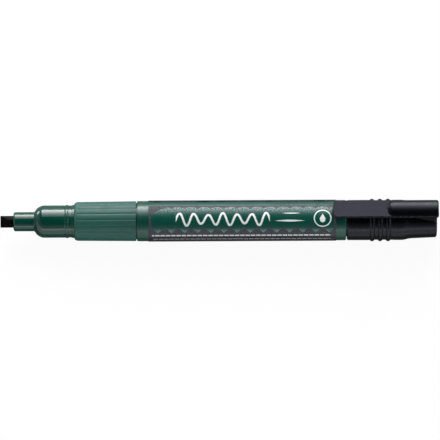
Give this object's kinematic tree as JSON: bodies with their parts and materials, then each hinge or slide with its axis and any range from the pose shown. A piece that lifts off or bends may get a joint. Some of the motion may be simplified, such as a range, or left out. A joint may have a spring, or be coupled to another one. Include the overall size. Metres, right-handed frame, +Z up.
{
  "type": "wet erase marker",
  "caption": "Valve-action wet erase marker with a chisel nib, ribbed grip and printed label, and its clip cap posted on the tail.",
  "frame": {"origin": "under the middle of the marker's length, on the surface that it lies on", "axes": "+X from the nib to the closed end of the cap, +Z up through the clip, +Y to the left seen from the nib's end looking along +X"},
  "size_m": [0.1486, 0.0146, 0.0172],
  "materials": {
    "nib_fibre": "matt black bonded fibre, ink soaked",
    "gloss_green": "glossy dark green moulded plastic",
    "matte_green": "satin dark green moulded plastic, ribbed",
    "label_film": "clear film printed charcoal and white over green",
    "cap_black": "satin black moulded plastic",
    "natural_plastic": "uncoloured moulded plastic",
    "soft_seal": "soft dark rubber",
    "sponge": "open fibre, ink soaked",
    "spring_steel": "drawn stainless wire",
    "ball_steel": "polished stainless ball"
  },
  "bodies": {
    "barrel": {"barrel": "gloss_green", "nozzle": "gloss_green", "grip_sleeve": "matte_green", "barrel_label": "label_film", "nib_sponge": "sponge", "valve_seat": "soft_seal", "valve_spring": "spring_steel", "valve_cage": "natural_plastic", "seal_ring": "soft_seal"},
    "nib": {"chisel_nib": "nib_fibre", "valve_stem": "natural_plastic"},
    "ball": {"mixing_ball": "ball_steel"},
    "cap": {"cap_shell": "cap_black", "inner_cap": "natural_plastic"},
    "clip": {"clip_arm": "cap_black"}
  },
  "joints": [
    {"name": "nib_press", "type": "slide", "parent": "barrel", "child": "nib", "axis": [1, 0, 0], "range_m": [0, 0.0015], "stiffness_N_per_m": 400, "springref_m": -0.003, "deforming": ["valve_spring"]},
    {"name": "ball_roll", "type": "slide", "parent": "barrel", "child": "ball", "axis": [1, 0, 0], "range_m": [0, 0.0565]},
    {"name": "cap_pull", "type": "slide", "parent": "barrel", "child": "cap", "axis": [1, 0, 0], "range_m": [0, 0.025]},
    {"name": "clip_flex", "type": "hinge", "parent": "cap", "child": "clip", "pos_m": [0.0666, 0, 0.01542], "axis": [0, 1, 0], "range_deg": [0, 4], "stiffness_Nm_per_rad": 1, "springref_deg": -1.15}
  ]
}
